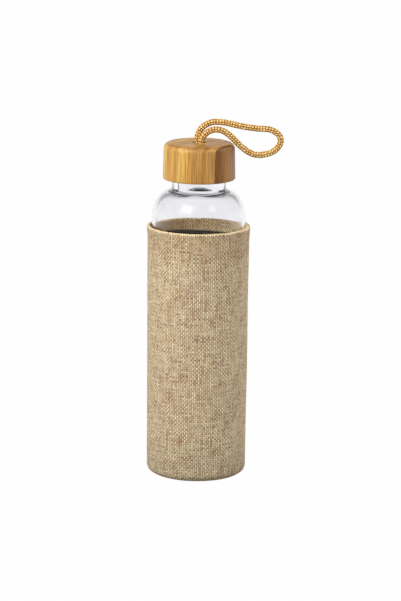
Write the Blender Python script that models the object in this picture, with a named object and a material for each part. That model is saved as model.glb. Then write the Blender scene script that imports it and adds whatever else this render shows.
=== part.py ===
"""A glass bottle in a woven sleeve, closed by a bamboo screw cap with a cord loop.

Metres, +Z up. The origin is the centre of the flat underside of the sleeve, and the bottle stands
on +Z. The front, where the cord loop leans to +X, faces -Y, and the sleeve's side seam is at +Y.
"""

import math

import bmesh
import bpy
import numpy as np
from mathutils import Matrix, Vector

# Fits and tolerances
TOUCH_GAP = 0.0003
THREAD_CLEARANCE = 0.0004
WELD_DISTANCE = 0.000001

# Glass bottle
GLASS_RADIUS = 0.0315
GLASS_WALL = 0.0022
GLASS_BASE_THICKNESS = 0.005
GLASS_HEEL_RADIUS = 0.0034
INNER_HEEL_RADIUS = 0.003
PUNT_RADIUS = 0.022
PUNT_DEPTH = 0.002
BODY_HEIGHT = 0.1728
SHOULDER_HEIGHT = 0.0196
SHOULDER_WALL = 0.003
NECK_RADIUS = 0.0179
NECK_WALL = 0.0027
NECK_HEIGHT = 0.0191
NECK_FILLET_RADIUS = 0.0004
INNER_NECK_FILLET_RADIUS = 0.0044
BORE_NARROWING = 0.0013
BORE_TAPER_DEPTH = 0.0065
BORE_TAPER_HEIGHT = 0.006
MOUTH_EDGE_RADIUS = 0.0008

# Screw thread shared by the neck and the insert: right hand, one start
THREAD_PITCH = 0.004
THREAD_DEPTH = 0.001
THREAD_ROOT_WIDTH = 0.0018
THREAD_CREST_WIDTH = 0.0008
THREAD_ROOTING = 0.0005
THREAD_TURNS = 1.5
THREAD_FADE_TURNS = 0.1
THREAD_END_SHARE = 0.1
NECK_THREAD_RISE = 0.0102
INSERT_THREAD_LEAD_TURNS = 0.25

# Cap, insert and seal
VISIBLE_NECK = 0.0074
CAP_BOTTOM_RADIUS = 0.0243
CAP_TOP_RADIUS = 0.0237
CAP_TOP_EDGE_RADIUS = 0.0041
CAP_BOTTOM_EDGE_RADIUS = 0.0011
CAP_TOP_THICKNESS = 0.003
INSERT_RECESS = 0.0003
INSERT_WALL = 0.0016
INSERT_DISC_THICKNESS = 0.0015
SEAL_THICKNESS = 0.0014

# Cord: one length through the hole in the cap's top, knotted in the pocket under it
CORD_DIAMETER = 0.004
KNOT_RADIUS = 0.007
KNOT_HEIGHT = 0.0052
KNOT_CLEARANCE = 0.0004
KNOT_SIDE_CLEARANCE = 0.001
STRAND_TWIST_DEGREES = 122.0
CORD_POINT_SPACING_SHARE = 0.75
ROUTE_SAMPLES_PER_POINT = 16

# The loop's centreline from the hole's mouth, over the back, round the far end and back to the
# front, counted from the middle of the mouth. Each end joins a strand that stands in the hole.
LOOP_ROUTE = [
    (-0.0014, 0.0018, 0.0032),
    (0.0002, 0.0019, 0.0077),
    (0.0036, 0.0019, 0.0113),
    (0.0082, 0.0019, 0.0133),
    (0.0125, 0.0018, 0.0136),
    (0.0175, 0.0017, 0.0131),
    (0.0275, 0.0014, 0.0110),
    (0.0378, 0.0010, 0.0096),
    (0.0435, 0.0008, 0.0094),
    (0.0475, 0.0006, 0.0088),
    (0.0508, 0.0004, 0.0071),
    (0.0533, 0.0002, 0.0047),
    (0.0541, 0.0000, 0.0017),
    (0.0533, -0.0001, -0.0013),
    (0.0508, -0.0003, -0.0044),
    (0.0473, -0.0005, -0.0065),
    (0.0432, -0.0007, -0.0076),
    (0.0391, -0.0009, -0.0079),
    (0.0350, -0.0011, -0.0071),
    (0.0309, -0.0012, -0.0048),
    (0.0273, -0.0014, -0.0020),
    (0.0242, -0.0015, 0.0011),
    (0.0211, -0.0017, 0.0042),
    (0.0175, -0.0018, 0.0070),
    (0.0140, -0.0019, 0.0087),
    (0.0104, -0.0020, 0.0090),
    (0.0069, -0.0019, 0.0081),
    (0.0039, -0.0019, 0.0060),
    (0.0018, -0.0018, 0.0031),
]
LOOP_HINGE = (0.0125, 0.0, 0.0113)

# Sleeve
SLEEVE_CLOTH = 0.0008
LINING_CLOTH = 0.0006
SLEEVE_HEIGHT = 0.1703
SLEEVE_TOP_EASE = 0.0006
RIM_FLARE = 0.0004
HEM_DEPTH = 0.0088
HEM_LOFT = 0.0004
BASE_SEAM_DEGREES = 38.0
LINING_SEAM_DEGREES = 52.0

# Sewing thread
STITCH_THREAD_DIAMETER = 0.0005
STITCH_LENGTH = 0.0026
STITCH_CROWN = 0.00015
HEM_STITCH_DROP = 0.0026

# Facets
ROUND_STEPS = 48
CORNER_STEPS = 3
SHOULDER_STEPS = 8
CORD_BEVEL_STEPS = 2
KNOT_RINGS = 8
KNOT_SEGMENTS = 20
SMOOTH_DEGREES = 40.0

# Layers between the sleeve's outside and the glass, the same at the side and under the base
LAYERS = SLEEVE_CLOTH + TOUCH_GAP + LINING_CLOTH + TOUCH_GAP

# Sleeve places
SLEEVE_RADIUS = GLASS_RADIUS + LAYERS
SLEEVE_CORNER = GLASS_HEEL_RADIUS + LAYERS
CORNER_CENTRE_RADIUS = GLASS_RADIUS - GLASS_HEEL_RADIUS
HEM_THICKNESS = 2 * SLEEVE_CLOTH + HEM_LOFT
HEM_BOTTOM = SLEEVE_HEIGHT - HEM_DEPTH
HEM_ROUND_START = SLEEVE_HEIGHT - HEM_THICKNESS / 2
SEAM_WIDTH = STITCH_THREAD_DIAMETER + 2 * TOUCH_GAP

# Bottle places
GLASS_BOTTOM = LAYERS
SHOULDER_BOTTOM = GLASS_BOTTOM + BODY_HEIGHT
SHOULDER_TOP = SHOULDER_BOTTOM + SHOULDER_HEIGHT
MOUTH_HEIGHT = SHOULDER_TOP + NECK_HEIGHT
NECK_BORE_RADIUS = NECK_RADIUS - NECK_WALL
BORE_FOOT_RADIUS = NECK_BORE_RADIUS - BORE_NARROWING
BORE_TAPER_TOP = MOUTH_HEIGHT - BORE_TAPER_DEPTH
SHOULDER_FOOT = NECK_RADIUS + NECK_FILLET_RADIUS

# Cap places
INSERT_BORE_RADIUS = NECK_RADIUS + THREAD_DEPTH + THREAD_CLEARANCE
INSERT_RADIUS = INSERT_BORE_RADIUS + INSERT_WALL
CAP_BORE_RADIUS = INSERT_RADIUS + TOUCH_GAP
CAP_BOTTOM = SHOULDER_TOP + VISIBLE_NECK
SEAL_BOTTOM = MOUTH_HEIGHT + TOUCH_GAP
INSERT_CEILING = SEAL_BOTTOM + SEAL_THICKNESS + TOUCH_GAP
INSERT_TOP = INSERT_CEILING + INSERT_DISC_THICKNESS
CAP_BORE_TOP = INSERT_TOP + TOUCH_GAP
POCKET_RADIUS = KNOT_RADIUS + KNOT_SIDE_CLEARANCE
POCKET_TOP = CAP_BORE_TOP + KNOT_HEIGHT + 2 * KNOT_CLEARANCE
CAP_TOP = POCKET_TOP + CAP_TOP_THICKNESS

# Cord places
STRAND_OFFSET = (CORD_DIAMETER + TOUCH_GAP) / 2
CORD_HOLE_RADIUS = STRAND_OFFSET + CORD_DIAMETER / 2 + TOUCH_GAP
KNOT_MIDDLE = CAP_BORE_TOP + KNOT_CLEARANCE + KNOT_HEIGHT / 2
HOLE_MOUTH = Vector((0, 0, CAP_TOP))

# Colours (red, green, blue), roughness and transmission
FINISHES = {
    "clear_glass": ((0.90, 0.94, 0.95), 0.03, 1.0),
    "bamboo": ((0.60, 0.36, 0.13), 0.45, 0.0),
    "white_plastic": ((0.82, 0.82, 0.80), 0.40, 0.0),
    "silicone": ((0.75, 0.75, 0.74), 0.60, 0.0),
    "golden_cord": ((0.52, 0.28, 0.07), 0.75, 0.0),
    "jute_weave": ((0.42, 0.34, 0.23), 0.95, 0.0),
    "black_lining": ((0.015, 0.015, 0.016), 0.80, 0.0),
    "brown_thread": ((0.22, 0.16, 0.10), 0.80, 0.0),
}


def clear_scene():
    for old in list(bpy.data.objects):
        bpy.data.objects.remove(old, do_unlink=True)


def finish(piece, finish_name):
    """Gives the piece a material of its own."""
    colour, roughness, transmission = FINISHES[finish_name]
    material = bpy.data.materials.new(f"{piece.name}_{finish_name}")
    material.use_nodes = True
    shader = material.node_tree.nodes["Principled BSDF"]
    shader.inputs["Base Color"].default_value = (*colour, 1)
    shader.inputs["Roughness"].default_value = roughness
    shader.inputs["Metallic"].default_value = 0
    shader.inputs["Transmission Weight"].default_value = transmission
    piece.data.materials.append(material)


def pivot(name, place, parent=None):
    """An empty on a joint's axis. place is where it stands in the world."""
    empty = bpy.data.objects.new(name, None)
    bpy.context.collection.objects.link(empty)
    empty["world_place"] = tuple(place)
    offset = Vector(parent["world_place"]) if parent else Vector()
    empty.parent = parent
    empty.location = Vector(place) - offset
    return empty


def seat(piece, empty):
    """Hangs a piece, drawn at its world place, on an empty, with its origin at the empty."""
    place = Vector(empty["world_place"])
    piece.data.transform(Matrix.Translation(-place))
    piece.parent = empty
    return piece


def object_from(shape, name):
    """A smooth-shaded object from a bmesh, its faces turned outwards."""
    bmesh.ops.recalc_face_normals(shape, faces=shape.faces)
    mesh = bpy.data.meshes.new(name)
    shape.to_mesh(mesh)
    shape.free()
    mesh.shade_smooth()
    mesh.set_sharp_from_angle(angle=math.radians(SMOOTH_DEGREES))
    piece = bpy.data.objects.new(name, mesh)
    bpy.context.collection.objects.link(piece)
    return piece


def arc(centre, radii, start, end, steps=CORNER_STEPS):
    """(radius, height) points on an arc. Angles are in degrees, from outwards (0) to up (90)."""
    angles = np.radians(np.linspace(start, end, steps + 1))
    return [(centre[0] + radii[0] * np.cos(a), centre[1] + radii[1] * np.sin(a)) for a in angles]


def turned(name, outline, slit_width=0.0):
    """A solid of revolution about Z. outline runs round its section as (radius, height) points.

    An outline that starts and ends on the axis is left open there. A slit leaves a gap at +Y.
    """
    slit = slit_width / SLEEVE_RADIUS
    start = math.pi / 2 + slit / 2
    shape = bmesh.new()
    corners = [shape.verts.new((r * math.cos(start), r * math.sin(start), z)) for r, z in outline]
    on_axis = outline[0][0] == 0 and outline[-1][0] == 0
    following = corners[1:] if on_axis else corners[1:] + corners[:1]
    edges = [shape.edges.new(pair) for pair in zip(corners, following)]
    bmesh.ops.spin(shape, geom=corners + edges, axis=(0, 0, 1), angle=2 * math.pi - slit,
                   steps=ROUND_STEPS)
    bmesh.ops.remove_doubles(shape, verts=shape.verts, dist=WELD_DISTANCE)
    open_edges = [edge for edge in shape.edges if edge.is_boundary]
    bmesh.ops.holes_fill(shape, edges=open_edges)
    return object_from(shape, name)


def helper(piece):
    """Keeps an operand of a Boolean out of the part."""
    piece.hide_render = True
    piece.display_type = "WIRE"
    return piece


def joined(piece, addition):
    """Unites a piece with a helper."""
    union = piece.modifiers.new(addition.name, "BOOLEAN")
    union.operation = "UNION"
    union.solver = "EXACT"
    union.object = helper(addition)


def thread_ridge(name, wall_radius, depth, first_height, first_turn):
    """A helical ridge on a wall. A negative depth points it inwards, and both ends fade out."""
    steps = round(THREAD_TURNS * ROUND_STEPS)
    outwards = math.copysign(1, depth)
    buried = wall_radius - outwards * THREAD_ROOTING
    shape = bmesh.new()
    rings = []
    for step in range(steps + 1):
        turn = step / ROUND_STEPS
        angle = 2 * math.pi * (turn + first_turn)
        middle = first_height + THREAD_PITCH * turn
        fade = min(1, turn / THREAD_FADE_TURNS, (THREAD_TURNS - turn) / THREAD_FADE_TURNS)
        crest = buried + (wall_radius + depth - buried) * max(fade, THREAD_END_SHARE)
        section = [(buried, -THREAD_ROOT_WIDTH / 2), (crest, -THREAD_CREST_WIDTH / 2),
                   (crest, THREAD_CREST_WIDTH / 2), (buried, THREAD_ROOT_WIDTH / 2)]
        rings.append([shape.verts.new((r * math.cos(angle), r * math.sin(angle), middle + z))
                      for r, z in section])
    for near, far in zip(rings, rings[1:]):
        for i in range(4):
            j = (i + 1) % 4
            shape.faces.new((near[i], near[j], far[j], far[i]))
    shape.faces.new(rings[0])
    shape.faces.new(reversed(rings[-1]))
    return object_from(shape, name)


def smooth_curve(route, spacing):
    """Evenly spaced points on a Catmull-Rom curve through the route's points."""
    p = np.array([2 * route[0] - route[1], *route, 2 * route[-1] - route[-2]])
    t = np.linspace(0, 1, ROUTE_SAMPLES_PER_POINT, endpoint=False)[:, None]
    stretches = [
        0.5 * (2 * p[i] + (p[i + 1] - p[i - 1]) * t
               + (2 * p[i - 1] - 5 * p[i] + 4 * p[i + 1] - p[i + 2]) * t**2
               + (3 * p[i] - p[i - 1] - 3 * p[i + 1] + p[i + 2]) * t**3)
        for i in range(1, len(p) - 2)
    ]
    fine = np.vstack([*stretches, p[-2]])
    along = np.concatenate([[0], np.cumsum(np.linalg.norm(np.diff(fine, axis=0), axis=1))])
    count = max(2, round(along[-1] / spacing))
    places = np.linspace(0, along[-1], count + 1)
    return np.column_stack([np.interp(places, along, fine[:, k]) for k in range(3)]), along[-1]


def tube(name, points, diameter, bevel_steps, closed=False):
    """A round cord along the points."""
    curve = bpy.data.curves.new(name, "CURVE")
    curve.dimensions = "3D"
    curve.bevel_depth = diameter / 2
    curve.bevel_resolution = bevel_steps
    curve.use_fill_caps = not closed
    spline = curve.splines.new("POLY")
    spline.points.add(len(points) - 1)
    for point, place in zip(spline.points, points):
        point.co = (*place, 1)
    spline.use_cyclic_u = closed
    spline.use_smooth = True
    piece = bpy.data.objects.new(name, curve)
    bpy.context.collection.objects.link(piece)
    return piece


def inner_shoulder():
    """The inside of the shoulder, from the body up into the neck's bore.

    It is the outside moved inwards by the wall, which thickens from the body towards the neck.
    """
    width = GLASS_RADIUS - SHOULDER_FOOT
    a = np.radians(np.linspace(0, 90, SHOULDER_STEPS + 1))
    outside = np.column_stack([SHOULDER_FOOT + width * np.cos(a),
                               SHOULDER_BOTTOM + SHOULDER_HEIGHT * np.sin(a)])
    outwards = np.column_stack([SHOULDER_HEIGHT * np.cos(a), width * np.sin(a)])
    outwards /= np.linalg.norm(outwards, axis=1, keepdims=True)
    wall = GLASS_WALL + (SHOULDER_WALL - GLASS_WALL) * np.sin(a)
    roof = outside - outwards * wall[:, None]
    foot = BORE_FOOT_RADIUS + INNER_NECK_FILLET_RADIUS
    foot_height = np.interp(foot, roof[::-1, 0], roof[::-1, 1])
    turn = arc((foot, foot_height + INNER_NECK_FILLET_RADIUS),
               (INNER_NECK_FILLET_RADIUS, INNER_NECK_FILLET_RADIUS), 270, 180, CORNER_STEPS + 2)
    return [*roof[roof[:, 0] > foot + TOUCH_GAP]] + turn + bore_taper()


def bore_taper():
    """The smooth widening of the neck's bore, from its foot up to its full width."""
    t = np.linspace(0, 1, CORNER_STEPS + 2)
    radii = BORE_FOOT_RADIUS + BORE_NARROWING * (3 - 2 * t) * t**2
    heights = BORE_TAPER_TOP - BORE_TAPER_HEIGHT * (1 - t)
    return [*np.column_stack([radii, heights])]


def outer_shoulder():
    """The outside of the shoulder, from the body up to the neck."""
    turn = arc((SHOULDER_FOOT, SHOULDER_TOP + NECK_FILLET_RADIUS),
               (NECK_FILLET_RADIUS, NECK_FILLET_RADIUS), 270, 180)
    slope = arc((SHOULDER_FOOT, SHOULDER_BOTTOM), (GLASS_RADIUS - SHOULDER_FOOT, SHOULDER_HEIGHT),
                0, 90, SHOULDER_STEPS)
    return slope[:-1] + turn


def glass_bottle():
    """Blown bottle with a thick base, a shallow punt, a round shoulder and a screw neck."""
    heel = (GLASS_HEEL_RADIUS, GLASS_HEEL_RADIUS)
    inner_heel = (INNER_HEEL_RADIUS, INNER_HEEL_RADIUS)
    edge = (MOUTH_EDGE_RADIUS, MOUTH_EDGE_RADIUS)
    inner_radius = GLASS_RADIUS - GLASS_WALL
    floor = GLASS_BOTTOM + GLASS_BASE_THICKNESS
    outline = (
        [(0, GLASS_BOTTOM + PUNT_DEPTH)]
        + arc((0, GLASS_BOTTOM), (PUNT_RADIUS, PUNT_DEPTH), 90, 0)[1:]
        + arc((CORNER_CENTRE_RADIUS, GLASS_BOTTOM + GLASS_HEEL_RADIUS), heel, -90, 0)
        + outer_shoulder()
        + arc((NECK_RADIUS - MOUTH_EDGE_RADIUS, MOUTH_HEIGHT - MOUTH_EDGE_RADIUS), edge, 0, 90, 2)
        + arc((NECK_BORE_RADIUS + MOUTH_EDGE_RADIUS, MOUTH_HEIGHT - MOUTH_EDGE_RADIUS), edge,
              90, 180, 2)
        + inner_shoulder()[::-1]
        + arc((inner_radius - INNER_HEEL_RADIUS, floor + INNER_HEEL_RADIUS), inner_heel, 0, -90)
        + [(0, floor)]
    )
    bottle = turned("glass_bottle", outline)
    ridge = thread_ridge("neck_thread", NECK_RADIUS, THREAD_DEPTH,
                         SHOULDER_TOP + NECK_THREAD_RISE, 0)
    joined(bottle, ridge)
    return [bottle, ridge]


def bamboo_cap():
    """Turned bamboo cap: a bore for the insert, a pocket for the knot and a hole for the cord."""
    top_edge = (CAP_TOP_EDGE_RADIUS, CAP_TOP_EDGE_RADIUS)
    bottom_edge = (CAP_BOTTOM_EDGE_RADIUS, CAP_BOTTOM_EDGE_RADIUS)
    outline = (
        arc((CAP_BOTTOM_RADIUS - CAP_BOTTOM_EDGE_RADIUS, CAP_BOTTOM + CAP_BOTTOM_EDGE_RADIUS),
            bottom_edge, -90, 0, 2)
        + arc((CAP_TOP_RADIUS - CAP_TOP_EDGE_RADIUS, CAP_TOP - CAP_TOP_EDGE_RADIUS),
              top_edge, 0, 90, CORNER_STEPS + 2)
        + [(CORD_HOLE_RADIUS, CAP_TOP), (CORD_HOLE_RADIUS, POCKET_TOP),
           (POCKET_RADIUS, POCKET_TOP), (POCKET_RADIUS, CAP_BORE_TOP),
           (CAP_BORE_RADIUS, CAP_BORE_TOP), (CAP_BORE_RADIUS, CAP_BOTTOM)]
    )
    return turned("bamboo_cap", outline)


def cap_insert():
    """Moulded cup glued into the cap, with the thread that grips the neck."""
    bottom = CAP_BOTTOM + INSERT_RECESS
    outline = [(0, INSERT_CEILING), (INSERT_BORE_RADIUS, INSERT_CEILING),
               (INSERT_BORE_RADIUS, bottom), (INSERT_RADIUS, bottom),
               (INSERT_RADIUS, INSERT_TOP), (0, INSERT_TOP)]
    insert = turned("cap_insert", outline)
    start = (SHOULDER_TOP + NECK_THREAD_RISE - THREAD_PITCH / 2
             + THREAD_PITCH * INSERT_THREAD_LEAD_TURNS)
    ridge = thread_ridge("insert_thread", INSERT_BORE_RADIUS, -THREAD_DEPTH, start,
                         INSERT_THREAD_LEAD_TURNS)
    joined(insert, ridge)
    return [insert, ridge]


def sealing_ring():
    """Flat silicone washer between the bottle's mouth and the insert's ceiling."""
    outside = INSERT_BORE_RADIUS - TOUCH_GAP
    top = SEAL_BOTTOM + SEAL_THICKNESS
    return turned("sealing_ring", [(NECK_BORE_RADIUS, SEAL_BOTTOM), (outside, SEAL_BOTTOM),
                                   (outside, top), (NECK_BORE_RADIUS, top)])


def strand_places():
    """Where the rear and the front strand stand in the hole, at the mouth's height."""
    angle = math.radians(STRAND_TWIST_DEGREES)
    rear = np.array([STRAND_OFFSET * math.cos(angle), STRAND_OFFSET * math.sin(angle), CAP_TOP])
    front = np.array([-rear[0], -rear[1], CAP_TOP])
    return rear, front


def cord_loop():
    """The cord's visible part, from one strand round the loop to the other."""
    rear, front = strand_places()
    middle = [np.array(point) + np.array(HOLE_MOUTH) for point in LOOP_ROUTE]
    points, length = smooth_curve([rear, *middle, front],
                                  CORD_DIAMETER * CORD_POINT_SPACING_SHARE)
    print(f"cord outside the cap: {length:.4f} m")
    upright = np.array([0, 0, CORD_DIAMETER * CORD_POINT_SPACING_SHARE])
    points[1], points[-2] = points[0] + upright, points[-1] + upright
    return tube("cord_loop", points, CORD_DIAMETER, CORD_BEVEL_STEPS)


def cord_knot():
    """The knot that holds both ends in the cap's pocket, with the strands up to the mouth."""
    shape = bmesh.new()
    bmesh.ops.create_uvsphere(shape, u_segments=KNOT_SEGMENTS, v_segments=KNOT_RINGS, radius=1)
    size = Vector((KNOT_RADIUS, KNOT_RADIUS, KNOT_HEIGHT / 2))
    bmesh.ops.scale(shape, vec=size, verts=shape.verts)
    bmesh.ops.translate(shape, vec=(0, 0, KNOT_MIDDLE), verts=shape.verts)
    knot = object_from(shape, "cord_knot")
    strands = []
    for name, place in zip(("rear_strand", "front_strand"), strand_places()):
        shape = bmesh.new()
        top = CAP_TOP - TOUCH_GAP
        bmesh.ops.create_cone(shape, cap_ends=True, segments=4 * (CORD_BEVEL_STEPS + 1),
                              radius1=CORD_DIAMETER / 2, radius2=CORD_DIAMETER / 2,
                              depth=top - KNOT_MIDDLE)
        bmesh.ops.translate(shape, vec=(place[0], place[1], (top + KNOT_MIDDLE) / 2),
                            verts=shape.verts)
        strand = object_from(shape, name)
        joined(knot, strand)
        strands.append(strand)
    return [knot, *strands]


def panel_radius(height):
    """Outer radius of the woven panel: it opens a little up to the hem, and more at the rim."""
    heights = [SLEEVE_CORNER, HEM_BOTTOM, HEM_ROUND_START]
    widest = SLEEVE_RADIUS + SLEEVE_TOP_EASE
    return float(np.interp(height, heights, [SLEEVE_RADIUS, widest, widest + RIM_FLARE]))


def corner_arc(inset, start, end):
    """Round the sleeve's lower corner, inset from its outside, between two angles in degrees."""
    radius = SLEEVE_CORNER - inset
    return arc((CORNER_CENTRE_RADIUS, SLEEVE_CORNER), (radius, radius), start, end)


def half_seam_degrees():
    """Half the width of the base seam, seen from the centre of the corner."""
    return math.degrees(SEAM_WIDTH / 2 / SLEEVE_CORNER)


def hem_groove():
    """The line that the hem's stitches draw into the cloth, from its lower to its upper edge."""
    middle = SLEEVE_HEIGHT - HEM_STITCH_DROP
    low, high = middle - SEAM_WIDTH / 2, middle + SEAM_WIDTH / 2
    depth = STITCH_THREAD_DIAMETER / 2 + TOUCH_GAP
    return [(panel_radius(low), low), (panel_radius(low) - depth, low),
            (panel_radius(high) - depth, high), (panel_radius(high), high)]


def sleeve_panel():
    """The woven side of the sleeve, its top edge folded inwards as a hem, slit at the side seam."""
    hem_half = HEM_THICKNESS / 2
    rim = panel_radius(HEM_ROUND_START)
    lower_end = -BASE_SEAM_DEGREES + half_seam_degrees()
    outline = (
        corner_arc(0, lower_end, 0)
        + [(panel_radius(HEM_BOTTOM), HEM_BOTTOM)]
        + hem_groove()
        + arc((rim - hem_half, HEM_ROUND_START), (hem_half, hem_half), 0, 180)
        + [(panel_radius(HEM_BOTTOM) - HEM_THICKNESS, HEM_BOTTOM),
           (panel_radius(HEM_BOTTOM) - SLEEVE_CLOTH, HEM_BOTTOM)]
        + corner_arc(SLEEVE_CLOTH, 0, lower_end)
    )
    return turned("sleeve_panel", outline, SEAM_WIDTH)


def cup(name, inset, cloth, seam_degrees):
    """A round cloth base whose edge turns up to its seam. inset is from the sleeve's outside."""
    outline = ([(0, inset)] + corner_arc(inset, -90, seam_degrees)
               + corner_arc(inset + cloth, seam_degrees, -90) + [(0, inset + cloth)])
    return turned(name, outline)


def sleeve_base():
    """The woven disc that the bottle stands on, turned up at its edge to the base seam."""
    return cup("sleeve_base", 0, SLEEVE_CLOTH, -BASE_SEAM_DEGREES - half_seam_degrees())


def lining_base():
    """The lining's round base."""
    inset = SLEEVE_CLOTH + TOUCH_GAP
    seam = LINING_SEAM_DEGREES + 2 * half_seam_degrees()
    return cup("lining_base", inset, LINING_CLOTH, -seam)


def lining_panel():
    """The black lining's side, from its base up to the hem."""
    inset = SLEEVE_CLOTH + TOUCH_GAP
    top = HEM_BOTTOM - TOUCH_GAP
    outside = SLEEVE_RADIUS - inset
    outline = (corner_arc(inset, -LINING_SEAM_DEGREES, 0)
               + [(outside, top), (outside - LINING_CLOTH, top)]
               + corner_arc(inset + LINING_CLOTH, 0, -LINING_SEAM_DEGREES))
    return turned("lining_panel", outline)


def stitched_ring(name, radius, height, outwards):
    """A thread sewn round the sleeve: every second point is a stitch's crown.

    outwards is the direction, as (radius, height), in which the crowns stand up.
    """
    stitches = round(2 * math.pi * radius / STITCH_LENGTH)
    points = []
    for i in range(2 * stitches):
        crown = STITCH_CROWN * (i % 2)
        angle = math.pi * i / stitches
        r = radius + crown * outwards[0]
        points.append((r * math.cos(angle), r * math.sin(angle), height + crown * outwards[1]))
    return tube(name, points, STITCH_THREAD_DIAMETER, 0, closed=True)


def hem_thread():
    """The stitches that hold the folded hem."""
    height = SLEEVE_HEIGHT - HEM_STITCH_DROP
    return stitched_ring("hem_thread", panel_radius(height), height, (1, 0))


def base_seam_thread():
    """The stitches between the panel and the base, round the lower corner."""
    angle = math.radians(-BASE_SEAM_DEGREES)
    outwards = (math.cos(angle), math.sin(angle))
    reach = SLEEVE_CORNER - STITCH_CROWN
    return stitched_ring("base_seam_thread", CORNER_CENTRE_RADIUS + reach * outwards[0],
                         SLEEVE_CORNER + reach * outwards[1], outwards)


def side_seam_thread():
    """The stitches that close the panel at the back, between the base seam and the hem's."""
    low = SLEEVE_CORNER
    high = SLEEVE_HEIGHT - HEM_STITCH_DROP - SEAM_WIDTH
    steps = 2 * round((high - low) / STITCH_LENGTH)
    points = []
    for i in range(steps + 1):
        height = low + (high - low) * i / steps
        points.append((0, panel_radius(height) + STITCH_CROWN * (i % 2), height))
    return tube("side_seam_thread", points, STITCH_THREAD_DIAMETER, 0)


def build_sleeve(axis):
    for piece, finish_name in (
        (sleeve_panel(), "jute_weave"),
        (sleeve_base(), "jute_weave"),
        (lining_panel(), "black_lining"),
        (lining_base(), "black_lining"),
        (hem_thread(), "brown_thread"),
        (base_seam_thread(), "brown_thread"),
        (side_seam_thread(), "brown_thread"),
    ):
        finish(seat(piece, axis), finish_name)


def build_bottle(axis):
    bottle, ridge = glass_bottle()
    seat(ridge, axis)
    finish(seat(bottle, axis), "clear_glass")


def build_cap(seal_axis, cap_axis):
    finish(seat(sealing_ring(), seal_axis), "silicone")
    finish(seat(bamboo_cap(), cap_axis), "bamboo")
    insert, ridge = cap_insert()
    seat(ridge, cap_axis)
    finish(seat(insert, cap_axis), "white_plastic")


def build_cord(swivel, hinge):
    knot, *strands = cord_knot()
    for strand in strands:
        seat(strand, swivel)
    finish(seat(knot, swivel), "golden_cord")
    finish(seat(cord_loop(), hinge), "golden_cord")


def build():
    """Joint axes first, each on the one that carries it, and then the pieces."""
    clear_scene()
    sleeve = pivot("sleeve_axis", (0, 0, 0))
    bottle = pivot("bottle_lift_axis", (0, 0, GLASS_BOTTOM), sleeve)
    seal = pivot("cap_rise_axis", (0, 0, MOUTH_HEIGHT), bottle)
    cap = pivot("cap_turn_axis", (0, 0, CAP_BOTTOM), seal)
    swivel = pivot("cord_swivel_axis", HOLE_MOUTH, cap)
    hinge = pivot("cord_raise_axis", HOLE_MOUTH + Vector(LOOP_HINGE), swivel)
    build_sleeve(sleeve)
    build_bottle(bottle)
    build_cap(seal, cap)
    build_cord(swivel, hinge)


build()
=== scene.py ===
"""The looks of the sleeved glass bottle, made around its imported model.

Metres, +Z up. The front, where the cord loop leans to +X, faces -Y, and the sleeve's side seam
is at +Y. Every shape is a grid of points worked out from a section or a route and its formula.
"""

import math

import bpy
import numpy as np
from mathutils import Matrix, Vector


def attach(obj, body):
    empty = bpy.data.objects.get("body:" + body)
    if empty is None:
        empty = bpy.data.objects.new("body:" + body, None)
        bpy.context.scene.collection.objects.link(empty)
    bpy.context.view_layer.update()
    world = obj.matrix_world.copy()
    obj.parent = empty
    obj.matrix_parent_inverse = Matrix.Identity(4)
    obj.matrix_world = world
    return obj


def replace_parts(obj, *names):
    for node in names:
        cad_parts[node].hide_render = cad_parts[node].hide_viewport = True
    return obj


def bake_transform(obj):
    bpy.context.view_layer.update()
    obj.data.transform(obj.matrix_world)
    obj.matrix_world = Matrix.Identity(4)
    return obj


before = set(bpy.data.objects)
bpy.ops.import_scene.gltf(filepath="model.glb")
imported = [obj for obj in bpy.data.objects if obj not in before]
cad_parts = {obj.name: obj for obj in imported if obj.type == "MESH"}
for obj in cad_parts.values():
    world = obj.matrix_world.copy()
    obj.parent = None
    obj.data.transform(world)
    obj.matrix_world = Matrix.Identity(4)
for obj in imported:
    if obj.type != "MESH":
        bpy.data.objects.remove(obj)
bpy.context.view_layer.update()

MM = 0.001

# Camera, worked out from the round silhouettes in the photograph
CAMERA_PLACE = (1.90 * MM, -1802.75 * MM, 519.23 * MM)
CAMERA_PITCH = 0.2188
CAMERA_ROLL = 0.0115
CAMERA_LENS_MM = 164.03

# Sizes that the model has
GAP = 0.3 * MM
GLASS_RADIUS = 31.5 * MM
GLASS_WALL = 2.2 * MM
GLASS_BOTTOM = 2.0 * MM
GLASS_FLOOR = 5.0 * MM
HEEL = 3.4 * MM
INNER_HEEL = 3.0 * MM
PUNT = (22.0 * MM, 2.0 * MM)
LIP = 0.8 * MM
SHOULDER_BOTTOM = 174.8 * MM
SHOULDER_TOP = 194.4 * MM
NECK_RADIUS = 17.9 * MM
BORE_RADIUS = 15.2 * MM
BORE_FOOT = 13.9 * MM
BORE_NARROWS = (207.0 * MM, 201.0 * MM)
NECK_FILLET = 0.4 * MM
INNER_FILLET = 4.4 * MM
INNER_RISE = 4.4 * MM
SHOULDER_WALL = 3.0 * MM
MOUTH = 213.5 * MM
THREAD_PITCH = 4.0 * MM
THREAD_DEPTH = 1.0 * MM
THREAD_TURNS = 1.5
THREAD_HALF = 0.95 * MM
THREAD_FADE = 0.08
NECK_THREAD_START = 204.6 * MM
INSERT_BORE = 19.3 * MM
INSERT_RADIUS = 20.9 * MM
INSERT_BOTTOM = 202.1 * MM
INSERT_CEILING = 215.5 * MM
INSERT_TOP = 217.0 * MM
CAP_BOTTOM = 201.8 * MM
CAP_BOTTOM_RADIUS = 24.3 * MM
CAP_TOP_RADIUS = 23.7 * MM
CAP_BORE = 21.2 * MM
CAP_BORE_TOP = 217.3 * MM
POCKET_RADIUS = 8.0 * MM
POCKET_TOP = 223.3 * MM
CAP_TOP = 226.3 * MM
HOLE_RADIUS = 4.45 * MM
CLOTH = 0.8 * MM
LINING = 0.6 * MM
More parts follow.
